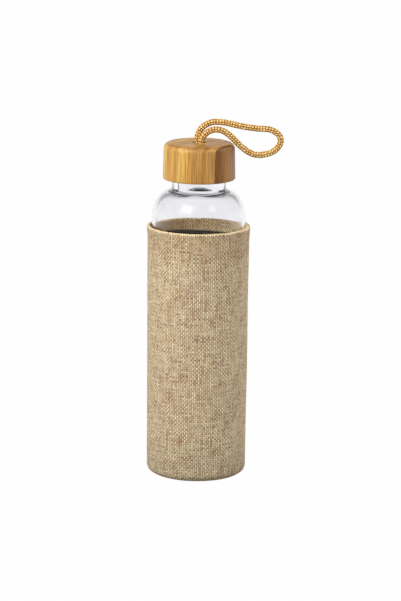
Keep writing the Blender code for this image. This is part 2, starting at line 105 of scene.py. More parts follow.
SLEEVE_RADIUS = 33.5 * MM
SLEEVE_CORNER = 5.4 * MM
CORNER_CENTRE = 28.1 * MM
SLEEVE_HEIGHT = 170.3 * MM
HEM_BOTTOM = 161.5 * MM
HEM_THICKNESS = 2.0 * MM
HEM_FACE = 32.8 * MM
HEM_EASE = 0.6 * MM
RIM_FLARE = 0.4 * MM
HEM_STITCH_HEIGHT = 167.7 * MM
DRAWN_IN = 0.18 * MM
SEAM_GROOVE = 0.5 * MM
GROOVE_REACH = 0.8 * MM
HEM_EDGE = 0.5 * MM
HEM_SLANT = 1.0 * MM
HEM_DEEPEST = math.radians(-50.0)
BASE_SEAM = math.radians(-38.0)
HALF_SEAM = 0.25 * MM / SLEEVE_CORNER
LINING_SEAM = math.radians(-52.0)

# Unevenness of the blown glass: waves of the inside, and waves and a lean at the neck's foot
GLASS_WAVES = 0.05 * MM
FOOT_WAVES = 0.06 * MM
WAVE_KNOTS = 7
FOOT_LEAN = 1.1 * MM
FOOT_REACH = 4.5 * MM
# Points of the inside's section: round the lip, down the bore and round the neck's foot
LIP_STEPS = 6
BORE_STEPS = 32
FOOT_STEPS = 16
# Where the wall is thinner inside, or thicker with a depth below zero: the angle from +X and the
# width in degrees, then the depth, the height and the reach
THIN_PLACES = [(-98.0, 30.0, 0.45 * MM, 190.0 * MM, 3.0 * MM),
               (-147.0, 2.0, 0.50 * MM, 201.0 * MM, 5.0 * MM),
               (-90.0, 60.0, -0.05 * MM, 196.0 * MM, 3.0 * MM)]

# Cord: its centreline from the mouth of the hole, over the back, round the far end and back
CORD_DIAMETER = 4.0 * MM
STRAND_PLACE = (-1.14 * MM, 1.82 * MM)
STRAND_DEPTH = 2.3 * MM
LOOP_ROUTE_MM = [
    (-1.4, 1.8, 3.2), (0.2, 1.9, 7.7), (3.6, 1.9, 11.3), (8.2, 1.9, 13.3), (12.5, 1.8, 13.6),
    (17.5, 1.7, 13.1), (27.5, 1.4, 11.0), (37.8, 1.0, 9.6), (43.5, 0.8, 9.4), (47.5, 0.6, 8.8),
    (50.8, 0.4, 7.1), (53.3, 0.2, 4.7), (54.1, 0.0, 1.7), (53.3, -0.1, -1.3), (50.8, -0.3, -4.4),
    (47.3, -0.5, -6.5), (43.2, -0.7, -7.6), (39.1, -0.9, -7.9), (35.0, -1.1, -7.1),
    (30.9, -1.2, -4.8), (27.3, -1.4, -2.0), (24.2, -1.5, 1.1), (21.1, -1.7, 4.2),
    (17.5, -1.8, 7.0), (14.0, -1.9, 8.7), (10.4, -2.0, 9.0), (6.9, -1.9, 8.1),
    (3.9, -1.9, 6.0), (1.8, -1.8, 3.1),
]

# Yarns and strands
WARPS = 162
PICK = 1.4 * MM
YARN_CRIMP = 0.10 * MM
YARN_RELIEF = 0.14 * MM
LINING_YARN = 0.35 * MM
SLUB = 0.35
SOFTNESS = 0.10 * MM
BRAID_STRANDS = 7
BRAID_LAY = 12.95 * MM
BRAID_RELIEF = 0.26 * MM
STITCH = 2.6 * MM
STITCH_LIFT = 0.15 * MM
STITCH_DIP = 0.75 * MM
STITCH_POINTS = 10
HEM_STITCHES = 82
BASE_STITCHES = 78
SIDE_STITCHES = 61
THREAD_DIAMETER = 0.5 * MM
THREAD_PLY = 0.8 * MM
KNOT_WIDE = 1.62 * MM
KNOT_TALL = 0.95 * MM
KNOT_HEIGHT = 219.9 * MM
KNOT_CORD = 0.86

# Strips of the bamboo block: where each starts, as a share of the cap's width, and its colour
STRIP_NORMAL = (0.813, -0.582, 0.0)
STRIPS = [
    (0.0, (0.4, 0.225, 0.06)), (0.135, (0.61, 0.385, 0.072)), (0.26, (0.53, 0.285, 0.062)),
    (0.372, (0.52, 0.29, 0.064)), (0.481, (0.57, 0.37, 0.104)), (0.564, (0.56, 0.318, 0.078)),
    (0.69, (0.45, 0.243, 0.062)), (0.809, (0.39, 0.192, 0.045)), (0.855, (0.51, 0.295, 0.092)),
    # The two strips at the right edge are lighter partly as painted rim light from the right,
    # partly by their own tone.
    (0.931, (0.19, 0.08, 0.019)), (0.966, (0.23, 0.106, 0.027)), (0.988, (0.32, 0.152, 0.038)),
]

# Light. The surround's share for mirrors in front, its share for glass in front, and its own glow
DIM = 0.2
FRONT = 0.5
GLOW = 0.99
BEHIND = (-0.6, 0.1)
BELOW = (0.4, 0.0)
AMBIENT = 0.32
FLOOR_SHADE = 0.42
FLOOR_RADIUS = 8.0
LAMP_CENTRE = (0, 0, 0.13)
# Azimuth, elevation, distance, size and power of each lamp, and if mirrors see it
KEY = [(0.45, 2.2), (0.7, 2.0), (1.0, 2.0)]
LAMPS = [(f"key_softbox_{share}", -35, 40, 1.0, (0.75 * share, 0.75 * share), power, True)
         for share, power in KEY]
LAMPS += [
    ("left_softbox", -62, 30, 0.75, (0.45, 0.45), 2.6, False),
    ("front_softbox", -12, 34, 0.75, (0.45, 0.45), 1.25, False),
    ("second_softbox", 41, 42, 1.0, (0.26, 0.42), 0.8, True),
    ("right_softbox", 94, 30, 0.9, (0.5, 0.6), 3.7, False),
    ("back_softbox", 145, 28, 1.0, (0.6, 0.6), 4.0, False),
]

WHITE = (1.0, 1.0, 1.0)

rng = np.random.default_rng(11)


# Shapes


def arc(centre, radii, start, end, steps):
    """Points (radius, height) on a circle's or an ellipse's arc: centre + radii * (cos a, sin a),
    in degrees."""
    a = np.radians(np.linspace(start, end, steps + 1))[:, None]
    return np.array(centre) + np.array(radii) * np.hstack([np.cos(a), np.sin(a)])


def rounded(corners, spacing, fillet_steps):
    """A closed line through (radius, height, fillet) corners: a circle's arc in each, with the
    straight stretches between them divided to about the spacing."""
    corners = np.array(corners, float)
    line = []
    for before, here, after in zip(np.roll(corners, 1, 0), corners, np.roll(corners, -1, 0)):
        a, b = before[:2] - here[:2], after[:2] - here[:2]
        a, b = a / np.linalg.norm(a), b / np.linalg.norm(b)
        half = math.acos(a @ b) / 2
        middle = (a + b) / np.linalg.norm(a + b)
        centre = here[:2] + middle * here[2] / math.sin(half)
        start = here[:2] + a * here[2] / math.tan(half) - centre
        turn = (math.pi - 2 * half) * np.sign(a[1] * b[0] - a[0] * b[1])
        t = np.linspace(0, turn, fillet_steps + 1)[:, None]
        line.append(centre + start * np.cos(t) + np.array([-start[1], start[0]]) * np.sin(t))
    line = np.vstack(line + [line[0][:1]])
    return np.vstack([divided(p, q, spacing)[:-1] for p, q in zip(line, line[1:])])


def divided(start, end, spacing):
    """Points from start to end, at even steps of about the spacing."""
    start, end = np.array(start, float), np.array(end, float)
    count = max(1, round(np.linalg.norm(end - start) / spacing))
    return start + (end - start) * np.linspace(0, 1, count + 1)[:, None]


def along(line):
    """How far along the line each of its points is."""
    return np.concatenate([[0], np.cumsum(np.linalg.norm(np.diff(line, axis=0), axis=1))])


def at(line, places):
    """The points of a line at these distances along it."""
    far = along(line)
    return np.column_stack([np.interp(places, far, line[:, k]) for k in range(line.shape[1])])


def ahead_of(line, closed):
    """The unit direction of a line at each of its points."""
    ahead = np.roll(line, -1, 0) - np.roll(line, 1, 0) if closed else np.gradient(line, axis=0)
    return ahead / np.maximum(np.linalg.norm(ahead, axis=1, keepdims=True), 1e-12)


def angles(columns, more=0):
    """The angle of each column from +X. Column 0 is at +Y, and more adds columns at the end."""
    return math.pi / 2 + 2 * math.pi * np.arange(columns + more) / columns


def thread_angles(columns):
    """The same angles within one turn, where a thread starts."""
    return 2 * math.pi * (np.arange(columns) / columns + 0.25) % (2 * math.pi)


def turned(section, columns, relief=0.0, closed=False):
    """A section turned about Z: each point at (r cos a, r sin a, z), where (r, z) is the section
    moved by the relief at that row and column, along its normal on the right of its direction."""
    angle = angles(columns)
    ahead = ahead_of(section, closed)
    relief = np.broadcast_to(relief, (len(section), columns))
    radius = section[:, :1] + ahead[:, 1:] * relief
    height = section[:, 1:] - ahead[:, :1] * relief
    radius = np.where(section[:, :1] == 0, 0, radius)
    return np.stack([radius * np.cos(angle), radius * np.sin(angle), height], axis=-1)


def swept(route, around, radius, closed=False):
    """A tube along a route: ring i is route[i] + radius * (cos b * side + sin b * up), where side
    and up are carried along the route without twist. Radius may vary by ring and by column."""
    ahead = ahead_of(route, closed)
    side = np.zeros_like(ahead)
    side[0] = np.cross(ahead[0], [0.3, 1, 0.2])
    side[0] /= np.linalg.norm(side[0])
    for i in range(1, len(ahead)):
        side[i] = side[i - 1] - ahead[i] * (side[i - 1] @ ahead[i])
        side[i] /= np.linalg.norm(side[i])
    up = np.cross(ahead, side)
    b = 2 * math.pi * np.arange(around) / around
    wide = np.broadcast_to(radius, (len(route), around))[..., None]
    rings = (route[:, None] + wide * (np.cos(b)[:, None] * side[:, None]
                                      + np.sin(b)[:, None] * up[:, None]))
    if closed:
        return rings
    first, last = [np.broadcast_to(end, (1, around, 3)) for end in (route[0], route[-1])]
    return np.concatenate([first, rings, last])


def shell(name, points, uv, closed):
    """A mesh from a grid of points, rows by columns. The columns always meet, and the rows do if
    the grid is closed. An end row that is one place becomes one point. uv has one row or column
    more than points wherever the grid meets itself."""
    rows, columns = points.shape[:2]
    r, c = np.meshgrid(np.arange(rows if closed else rows - 1), np.arange(columns), indexing="ij")
    corner_r = np.stack([r, r, r + 1, r + 1], -1).reshape(-1, 4)
    corner_c = np.stack([c, c + 1, c + 1, c], -1).reshape(-1, 4)
    index = np.arange(rows * columns).reshape(rows, columns)
    kept = np.ones(corner_r.shape, bool)
    for row, corner in ((0, 0), (rows - 1, 3)):
        if not closed and np.ptp(points[row], axis=0).max() < 1e-9:
            index[row] = index[row, 0]
            kept[(corner_r == row)[:, corner], corner] = False
    used, corners = np.unique(index[corner_r % rows, corner_c % columns][kept],
                              return_inverse=True)
    places = points.reshape(-1, 3)[used]
    sizes = kept.sum(1)
    starts = np.concatenate([[0], np.cumsum(sizes)[:-1]])
    a, b, d = places[corners[starts]], places[corners[starts + 1]], places[corners[starts + 2]]
    e = places[corners[starts + sizes - 1]]
    volume = (a * np.cross(b, d)).sum() + (a * np.cross(d, e)).sum()
    order = np.arange(len(corners))
    if volume < 0:
        order = 2 * np.repeat(starts, sizes) + np.repeat(sizes, sizes) - 1 - order
    mesh = bpy.data.meshes.new(name)
    mesh.vertices.add(len(places))
    mesh.vertices.foreach_set("co", places.astype(np.float32).ravel())
    mesh.loops.add(len(corners))
    mesh.loops.foreach_set("vertex_index", corners[order].astype(np.int32))
    mesh.polygons.add(len(sizes))
    mesh.polygons.foreach_set("loop_start", starts.astype(np.int32))
    if uv is not None:
        layer = mesh.uv_layers.new(name="yarns")
        yarns = uv[corner_r, corner_c][kept][order]
        layer.uv.foreach_set("vector", yarns.astype(np.float32).ravel())
    mesh.update(calc_edges=True)
    mesh.validate()
    mesh.shade_smooth()
    return mesh


def grid_uv(across, down):
    """A grid of places (across, down) for a shell's face corners."""
    return np.stack(np.meshgrid(across, down), axis=-1)


def piece(name, points, finish, body, slot, *nodes, uv=None, closed=False):
    """A piece of the object, the shell of these points. It rides on a body and stands for CAD
    nodes."""
    made = bpy.data.objects.new(name, shell(name, points, uv, closed))
    bpy.context.collection.objects.link(made)
    made.data.materials.append(finish.material)
    if body:
        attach(made, body)
    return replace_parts(made, *nodes)


def wavy(count, knots, size, chance=rng):
    """Smooth chance variation along a closed line: random values at the knots, and a cosine
    blend between them."""
    values = chance.normal(0, size, knots)
    t = np.arange(count) * knots / count
    low = np.floor(t).astype(int)
    blend = (1 - np.cos(math.pi * (t - low))) / 2
    return values[low % knots] * (1 - blend) + values[(low + 1) % knots] * blend


def woven(u, v, crimp, yarn):
    """Height of a plain weave. Warps rise and fall as sin(pi u) sin(pi v) and wefts the other
    way round, each yarn is rounded as |sin| across itself, and the higher of the two shows."""
    warp, weft = np.sin(math.pi * u), np.sin(math.pi * v)
    wave = crimp * warp * weft
    return np.maximum(wave + yarn * abs(warp), yarn * abs(weft) - wave)


# Materials


class Field:
    """A value that changes over a surface. Sums with it add nodes to the tree that it is in."""

    def __init__(self, tree, socket):
        self.tree, self.socket = tree, socket

    def node(self, kind, inputs, output=0, **settings):
        return added(self.tree, kind, inputs, output, **settings)

    def outputs(self):
        """A field for every output of the field's own node."""
        return [Field(self.tree, socket) for socket in self.socket.node.outputs]

    def math(self, operation, *others):
        return self.node("Math", dict(enumerate((self, *others))), operation=operation)

    def __add__(self, other):
        return self.math("ADD", other)

    def __sub__(self, other):
        return self.math("SUBTRACT", other)

    def __rsub__(self, other):
        return self.node("Math", {0: other, 1: self}, operation="SUBTRACT")

    def __mul__(self, other):
        return self.math("MULTIPLY", other)

    def between(self, low, high):
        """0 below low, 1 above high, and smooth between them. High may be the lower one."""
        ways = {0: self, 1: low, 2: high}
        return self.node("MapRange", ways, interpolation_type="SMOOTHSTEP")

    def mix(self, low, high):
        """The colour low where the field is 0 and high where it is 1."""
        ways = {0: self, 6: low, 7: high}
        return self.node("Mix", ways, 2, data_type="RGBA")

    def ramp(self, stops, interpolation="LINEAR"):
        """A colour for each value, from (value, colour) stops."""
        made = self.node("ValToRGB", {0: self})
        line = made.socket.node.color_ramp
        line.interpolation = interpolation
        while len(line.elements) < len(stops):
            line.elements.new(0.5)
        for element, (value, colour) in zip(line.elements, stops):
            element.position, element.color = value, (*colour, 1)
        return made


def added(tree, kind, inputs, output=0, **settings):
    """A new node with these inputs and settings. Gives the field of one of its outputs."""
    made = tree.nodes.new(f"ShaderNode{kind}")
    for key, value in settings.items():
        setattr(made, key, value)
    for key, value in inputs.items():
        feed(tree, made.inputs[key], value)
    return Field(tree, made.outputs[output])


def feed(tree, socket, value):
    """Links a field to a socket, or sets the socket to a plain number, vector or colour."""
    if isinstance(value, Field):
        tree.links.new(value.socket, socket)
    elif socket.type == "RGBA" and len(value) == 3:
        socket.default_value = (*value, 1)
    else:
        socket.default_value = value


def scaled(place, scale):
    """The place with each of its coordinates multiplied."""
    return place.node("VectorMath", {0: place, 1: scale}, operation="MULTIPLY")


def shaded(colour, *layers):
    """The colour times each layer's own, which goes from low to high with the layer's field."""
    for field, low, high in layers:
        colour = multiplied(colour, field.mix(low, high))
    return colour


def multiplied(first, second):
    """One colour times another."""
    return first.node("Mix", {0: 1.0, 6: first, 7: second}, 2, data_type="RGBA",
                      blend_type="MULTIPLY")


def blended(share, first, second):
    """Ends a material or a world with a blend of two shaders, with this share of the second."""
    nodes = share.tree.nodes
    end = nodes.get("Material Output") or nodes["World Output"]
    mixed = share.node("MixShader", {0: share, 1: first, 2: second})
    feed(share.tree, end.inputs["Surface"], mixed)


def noise(place, scale=1.0, detail=2.0, roughness=0.5):
    """Cloudy variation about one half."""
    return place.node("TexNoise", {"Vector": place, "Scale": scale, "Detail": detail,
                                   "Roughness": roughness})


def parts(place):
    """The three coordinates of a place."""
    return place.node("SeparateXYZ", {0: place}).outputs()


def vector(x, y, z=0.0):
    """A place from three coordinates."""
    return x.node("CombineXYZ", {0: x, 1: y, 2: z})


def apply(group, **inputs):
    """Places a group in a material. Gives a field for each of its outputs."""
    return inputs["Yarns"].node("Group", inputs, node_tree=group).outputs()


class Finish:
    """A material with one Principled shader, and the places on the piece that it reads."""

    def __init__(self, name, **shine):
        self.material = bpy.data.materials.new(name)
        self.material.use_nodes = True
        self.tree = self.material.node_tree
        self.shader = self.tree.nodes["Principled BSDF"]
        self.plain = Field(self.tree, self.shader.outputs[0])
        self.set(**shine)

    def set(self, **values):
        for key, value in values.items():
            feed(self.tree, self.shader.inputs[key.replace("_", " ")], value)

    def yarns(self):
        """The piece's own yarn coordinates: one unit is one yarn."""
        return added(self.tree, "UVMap", {}, uv_map="yarns")

    def place(self):
        """Where a point is on the piece, in metres."""
        return added(self.tree, "TexCoord", {}, "Object")

    def bump(self, height, distance, strength=1.0):
        """Small relief: the height times the distance."""
        relief = {"Height": height, "Distance": distance, "Strength": strength}
        self.set(Normal=height.node("Bump", relief))


def weave_effect():
    """Plain weave on yarn coordinates: the height, which way the upper yarn runs, and a tone
    and fibres that vary along each yarn and from yarn to yarn."""
    group = bpy.data.node_groups.new("plain_weave", "ShaderNodeTree")
    for way, titles in (("INPUT", "Yarns Crimp Lead Run"), ("OUTPUT", "Height Warp Tone Fibres")):
        for title in titles.split():
            kind = "Vector" if title == "Yarns" else "Float"
            group.interface.new_socket(name=title, in_out=way, socket_type=f"NodeSocket{kind}")
    start, end = group.nodes.new("NodeGroupInput"), group.nodes.new("NodeGroupOutput")
    place, crimp, lead, run = [Field(group, socket) for socket in start.outputs[:4]]
    u, v, _ = parts(place)
    warp, weft = (u * math.pi).math("SINE"), (v * math.pi).math("SINE")
    wave = warp * weft * crimp
    warp_height = warp.math("ABSOLUTE") + wave + lead
    weft_height = weft.math("ABSOLUTE") - wave
    on_top = (warp_height - weft_height).between(-0.04, 0.04)
    height = warp_height.math("MAXIMUM", weft_height) * 0.6
    tones, strands = [], []
    for across, far, seed in ((u, v, 3.7), (v, u, 41.3)):
        number = across.math("FLOOR")
        tones.append(noise(vector(number * 7.13 + seed, far * run, number * 1.7)))
        strands.append(noise(vector(across * 5.0 + far * 1.6, far * 0.9 - across, seed), 1.0, 1.0))
    tone = on_top.mix(tones[1], tones[0])
    fibres = on_top.mix(strands[1], strands[0])
    for socket, field in zip(end.inputs, (height, on_top, tone, fibres)):
        feed(group, socket, field)
    return group


def jute_finish(weave):
    """Heathered cloth: cream, yellow, pinkish and greenish warps over browner wefts, with painted
    shade in the gaps between the yarns. The hem's inner face is painted brighter, more so to the
    right, as light from the left would make it. The rim's top has a painted highlight, the cloth
    is a little darker in a band below the rim, and painted shade darkens it towards the bottom."""
    look = Finish("jute_cloth", Roughness=0.92, Specular_IOR_Level=0.25, Sheen_Weight=0.12,
                  Sheen_Roughness=0.5)
    yarns = look.yarns()
    height, warp, tone, fibres = apply(weave, Yarns=yarns, Crimp=0.5, Lead=0.12, Run=0.18)
    upright = tone.ramp([
        (0.3, (0.43, 0.29, 0.17)), (0.4, (0.6, 0.45, 0.29)), (0.47, (0.66, 0.56, 0.38)),
        (0.55, (0.72, 0.6, 0.405)), (0.66, (0.82, 0.71, 0.51)),
    ])
    level = tone.ramp([
        (0.32, (0.26, 0.16, 0.085)), (0.46, (0.42, 0.3, 0.18)), (0.56, (0.5, 0.39, 0.24)),
        (0.68, (0.66, 0.54, 0.36)),
    ])
    patch = noise(scaled(yarns, (0.42, 0.26, 1.0)), 1.0, 3.0)
    tint = patch.ramp([(0.3, (1.07, 0.96, 0.92)), (0.44, (1.02, 0.99, 0.97)),
                       (0.56, (1.0, 1.0, 0.98)), (0.7, (0.96, 0.98, 0.95))])
    x, y, z = parts(look.place())
    out = x.node("VectorMath", {0: vector(x, y)}, 1, operation="LENGTH")
    inside = out.between(HEM_FACE + 0.2 * MM, HEM_FACE - 0.2 * MM)
    hem = inside * z.between(HEM_BOTTOM - 3 * MM, HEM_BOTTOM)
    # Painted highlight: the rim's top is made lighter, as light from above would catch it.
    rim = z.between(SLEEVE_HEIGHT - 1.6 * MM, SLEEVE_HEIGHT - 0.5 * MM)
    # A band below the rim, outside the hem, is made a little darker.
    band_below_rim = z.between(146 * MM, 158 * MM) * (1.0 - rim) * (1.0 - inside)
    # Painted light: the hem's inner face is brightened, more towards +X, where light from the left
    # falls.
    hem_painted_light = x.between(-32 * MM, 40 * MM).mix((0.9, 0.68, 0.43), (2.05, 1.95, 1.62))
    colour = multiplied(warp.mix(level, upright), tint)
    look.set(Base_Color=shaded(
        # Painted shade: the gaps between the yarns are darkened.
        colour, (height.between(0.1, 0.58), (0.26, 0.19, 0.13), WHITE),
        (fibres.between(0.3, 0.7), (0.84, 0.83, 0.81), (1.1, 1.1, 1.09)),
        (hem, WHITE, hem_painted_light), (rim, WHITE, (1.22, 1.24, 1.22)), (band_below_rim, WHITE, (0.87, 0.83, 0.79)),
        # Painted shade: the cloth is darkened towards the bottom.
        (z.between(34 * MM, 6 * MM), WHITE, (0.86, 0.86, 0.86))))
    look.bump(height + fibres * 0.25, 0.45 * MM, 0.9)
    return look


def lining_finish(weave):
    """Smooth black lining, its fine weave just visible."""
    look = Finish("black_lining", Roughness=0.8, Specular_IOR_Level=0.12)
    height, _, tone, _ = apply(weave, Yarns=look.yarns(), Crimp=0.4, Lead=0.0, Run=0.3)
    look.set(Base_Color=tone.ramp([(0.3, (0.005, 0.004, 0.003)), (0.7, (0.017, 0.014, 0.011))]))
    look.bump(height, 0.08 * MM, 0.6)
    return look


def cord_finish(weave):
    """Golden brown braid: amber strands with cream and dark brown flecks. Painted shade darkens
    the gaps between the strands, and a painted highlight lightens their tops.
    """
    look = Finish("braided_cord", Roughness=0.62, Specular_IOR_Level=0.4, Sheen_Weight=0.1,
                  Sheen_Roughness=0.4)
    height, warp, tone, fibres = apply(weave, Yarns=look.yarns(), Crimp=0.5, Lead=0.0, Run=1.8)
    strand = tone.ramp([
        (0.34, (0.42, 0.205, 0.042)), (0.43, (0.55, 0.29, 0.062)), (0.5, (0.62, 0.345, 0.078)),
        (0.56, (0.68, 0.41, 0.104)), (0.64, (0.78, 0.54, 0.21)),
    ])
    look.set(Base_Color=shaded(
        strand, (warp, (0.42, 0.31, 0.19), (1.56, 1.76, 2.4)),
        # Painted shade in the gaps between the strands, painted highlight on their tops.
        (height.between(0.16, 0.62), (0.18, 0.11, 0.06), (1.14, 1.14, 1.14)),
        (fibres.between(0.35, 0.65), (0.85, 0.83, 0.81), (1.08, 1.08, 1.08))))
    look.bump(height + fibres * 0.3, 0.25 * MM, 0.8)
    return look


def thread_finish():
    """Spun brown sewing thread: its plies run round it as slanting stripes."""
    look = Finish("sewing_thread", Roughness=0.75, Specular_IOR_Level=0.3)
    u, v, _ = parts(look.yarns())
    ply = ((u + v) * (2 * math.pi)).math("SINE")
    look.set(Base_Color=ply.between(-1.0, 0.6).mix((0.26, 0.185, 0.11), (0.6, 0.47, 0.31)))
    look.bump(ply, 0.05 * MM)
    return look


def bamboo_finish():
    """Laminated bamboo: upright fibres, glued strips that each have a tone of their own, darker
    and duller end grain on top, and a satin lacquer. The strips are planes across a level way."""
    look = Finish("bamboo", Coat_Roughness=0.3)
    place = look.place()
    across = place.node("VectorMath", {0: place, 1: STRIP_NORMAL}, 1, operation="DOT_PRODUCT")
    wander = noise(scaled(place, (60, 60, 25))) * (0.5 * MM) - 0.25 * MM
    number = (across + wander) * (1 / (2 * CAP_BOTTOM_RADIUS)) + 0.5
    strip = number.ramp(STRIPS, "CONSTANT")
    cloud = noise(scaled(place, (220, 220, 18)), 1.0, 3.0)
    streak = noise(scaled(place, (1500, 1500, 34)), 1.0, 2.0, 0.6)
    bundle = place.node("TexVoronoi", {"Vector": scaled(place, (950, 950, 14)), "Scale": 1.0})
    dots = bundle.between(0.42, 0.12)
    end_grain = parts(place)[2].between(CAP_TOP - 2.0 * MM, CAP_TOP - 0.5 * MM)
    cut = noise(scaled(place, (90, 420, 1)), 1.0, 3.0).between(0.35, 0.65)
    colour = shaded(
        strip, (cloud.between(0.3, 0.7), (0.9, 0.87, 0.8), (1.1, 1.1, 1.08)),
        (streak.between(0.34, 0.62), (0.77, 0.69, 0.56), (1.07, 1.07, 1.06)),
        (dots, WHITE, (0.8, 0.72, 0.6)),
        (end_grain, WHITE, cut.mix((0.56, 0.5, 0.44), (0.82, 0.75, 0.66))))
    look.set(Base_Color=colour, Roughness=streak * 0.2 + 0.32,
             Specular_IOR_Level=end_grain * -0.2 + 0.4, Coat_Weight=end_grain * -0.12 + 0.16)
    look.bump(streak - dots * 0.5, 0.03 * MM, 0.5)
    return look


def glass_finish():
    """Clear glass with a faint blue grey tint, deeper where the wall is seen edge on: partly the
    longer path through the glass, partly painted shade for the dark surroundings that the edges
    bend into view. Light from the lamps passes it."""
    look = Finish("clear_glass", Roughness=0.0, IOR=1.5, Transmission_Weight=1.0)
    # The edge tint is partly painted shade, standing in for dark surroundings seen through the
    # edges.
    edge = added(look.tree, "LayerWeight", {"Blend": 0.35}, "Facing").math("POWER", 4.0)
    look.set(Base_Color=edge.mix((0.97, 0.971, 0.994), (0.28, 0.34, 0.42)))
    clear = added(look.tree, "BsdfTransparent", {"Color": (0.985, 0.985, 0.985)})
    blended(added(look.tree, "LightPath", {}, "Is Shadow Ray"), look.plain, clear)
    return look


def moulded_finish(name, roughness, milky, mottle, low, high):
    """Moulded plastic or silicone: milky, satin and very slightly mottled."""
    look = Finish(name, Subsurface_Weight=milky, Subsurface_Scale=1.0 * MM)
    cloud = noise(look.place(), mottle)
    look.set(Base_Color=cloud.between(0.3, 0.7).mix(low, high), Roughness=cloud * 0.2 + roughness)
    return look


# Camera, light and floor


def make_camera():
    """The camera in front of the bottle, tilted down."""
    data = bpy.data.cameras.new("camera")
    data.lens = CAMERA_LENS_MM
    data.clip_start, data.clip_end = 0.05, 50
    made = bpy.data.objects.new("camera", data)
    made.matrix_world = (Matrix.Translation(CAMERA_PLACE)
                         @ Matrix.Rotation(math.pi / 2 - CAMERA_PITCH, 4, "X")
                         @ Matrix.Rotation(CAMERA_ROLL, 4, "Z"))
    bpy.context.collection.objects.link(made)
    bpy.context.scene.camera = made


def softbox(name, azimuth, elevation, distance, size, power, mirrored):
    """A lit rectangle that faces the bottle. Azimuth is counted from the front to the right."""
    data = bpy.data.lights.new(name, "AREA")
    data.shape, data.size, data.size_y, data.energy = "RECTANGLE", *size, power
    made = bpy.data.objects.new(name, data)
    a, e = math.radians(azimuth), math.radians(elevation)
    way = Vector((math.sin(a) * math.cos(e), -math.cos(a) * math.cos(e), math.sin(e)))
    made.location = Vector(LAMP_CENTRE) + way * distance
    made.rotation_euler = way.to_track_quat("Z", "Y").to_euler()
    made.visible_glossy = mirrored
    made.visible_transmission = False
    bpy.context.collection.objects.link(made)


def glowing(lit, place):
    """White where it is seen itself. A mirror sees it white behind the object and dim in front,
    as a studio's front is, and glass sees it a little dimmer in front and dim above. Everything
    else gets the lit shader."""
    _, depth, height = parts(place)
    camera, glossy, through = [added(lit.tree, "LightPath", {}, f"Is {name} Ray")
                               for name in ("Camera", "Glossy", "Transmission")]
    behind, below = depth.between(*BEHIND), height.between(*BELOW)
    mirrored = behind * (1 - DIM) + DIM
    refracted = (below * (1 - DIM) + DIM) * (behind * (1 - FRONT) + FRONT)
    strength = glossy * (1.0 - through) * (mirrored - 1.0) + through * (refracted - 1.0) + 1.0
    seen = camera.math("MAXIMUM", through).math("MAXIMUM", glossy) * GLOW
    blended(seen, lit, strength.node("Emission", {"Strength": strength}))


def make_world():
    """Even studio light, with a white surround wherever it is seen itself."""
    world = bpy.data.worlds.new("studio")
    bpy.context.scene.world = world
    world.use_nodes = True
    tree = world.node_tree
    plain = tree.nodes["Background"]
    plain.inputs["Color"].default_value = (1, 1, 1, 1)
    plain.inputs["Strength"].default_value = AMBIENT
    glowing(Field(tree, plain.outputs[0]), added(tree, "TexCoord", {}, "Generated"))


def make_floor():
    """A white floor that keeps a soft shadow."""
    look = Finish("white_floor", Roughness=0.9, Base_Color=(FLOOR_SHADE,) * 3)
    glowing(look.plain, look.place())
    edge = ring(FLOOR_RADIUS, -0.05 * MM, 64)[0]
    mesh = bpy.data.meshes.new("floor")
    mesh.from_pydata(edge.tolist(), [], [list(range(64))])
    mesh.materials.append(look.material)
    floor = bpy.data.objects.new("floor", mesh)
    bpy.context.collection.objects.link(floor)


# Pieces


def smooth_route(points, spacing):
    """Even steps on a Catmull-Rom curve through the points: each stretch is the cubic whose
    slope at its ends is half the way from the point before to the point after."""
    p = np.vstack([2 * points[0] - points[1], points, 2 * points[-1] - points[-2]])
    t = np.linspace(0, 1, 24, endpoint=False)[None, :, None]
    a, b, c, d = (p[k:len(p) - 3 + k, None] for k in range(4))
    curve = 0.5 * (2 * b + (c - a) * t + (2 * a - 5 * b + 4 * c - d) * t**2
                   + (3 * b - a - 3 * c + d) * t**3)
    fine = np.vstack([curve.reshape(-1, 3), points[-1:]])
    far = along(fine)[-1]
    return at(fine, np.linspace(0, far, round(far / spacing) + 1))


def braided(route, diameter, around=64):
    """A braided tube and its yarn coordinates. Its two sets of strands wind round it in opposite
    ways: a place at the share b round it and s along it is at n b +- n s / lay, with the plain
    weave's height as relief."""
    s = along(route)[:, None]
    b = np.arange(around)[None] / around
    turns = s / BRAID_LAY
    u, v = BRAID_STRANDS * (b + turns), BRAID_STRANDS * (b - turns)
    relief = woven(u, v, 0.45, 0.55) * BRAID_RELIEF
    tube = swept(route, around, diameter / 2 - 0.35 * BRAID_RELIEF + relief)
    b = np.arange(around + 1)[None] / around
    turns = np.concatenate([turns[:1], turns, turns[-1:]])
    return tube, BRAID_STRANDS * np.stack([b + turns, b - turns], -1)


def make_loop(finish):
    """The cord from deep in the hole, up, over and round the loop, and down into the hole."""
    rear = np.array([*STRAND_PLACE, CAP_TOP])
    front = rear * (-1, -1, 1)
    down = np.array([0, 0, STRAND_DEPTH])
    middle = np.array(LOOP_ROUTE_MM) * MM + (0, 0, CAP_TOP)
    route = smooth_route(np.vstack([rear - down, rear, middle, front, front - down]), 0.2 * MM)
    tube, uv = braided(route, CORD_DIAMETER)
    cord = piece("cord_loop_braid", tube, finish, None, "braided_cord", "cord_loop", uv=uv)
    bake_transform(cord)


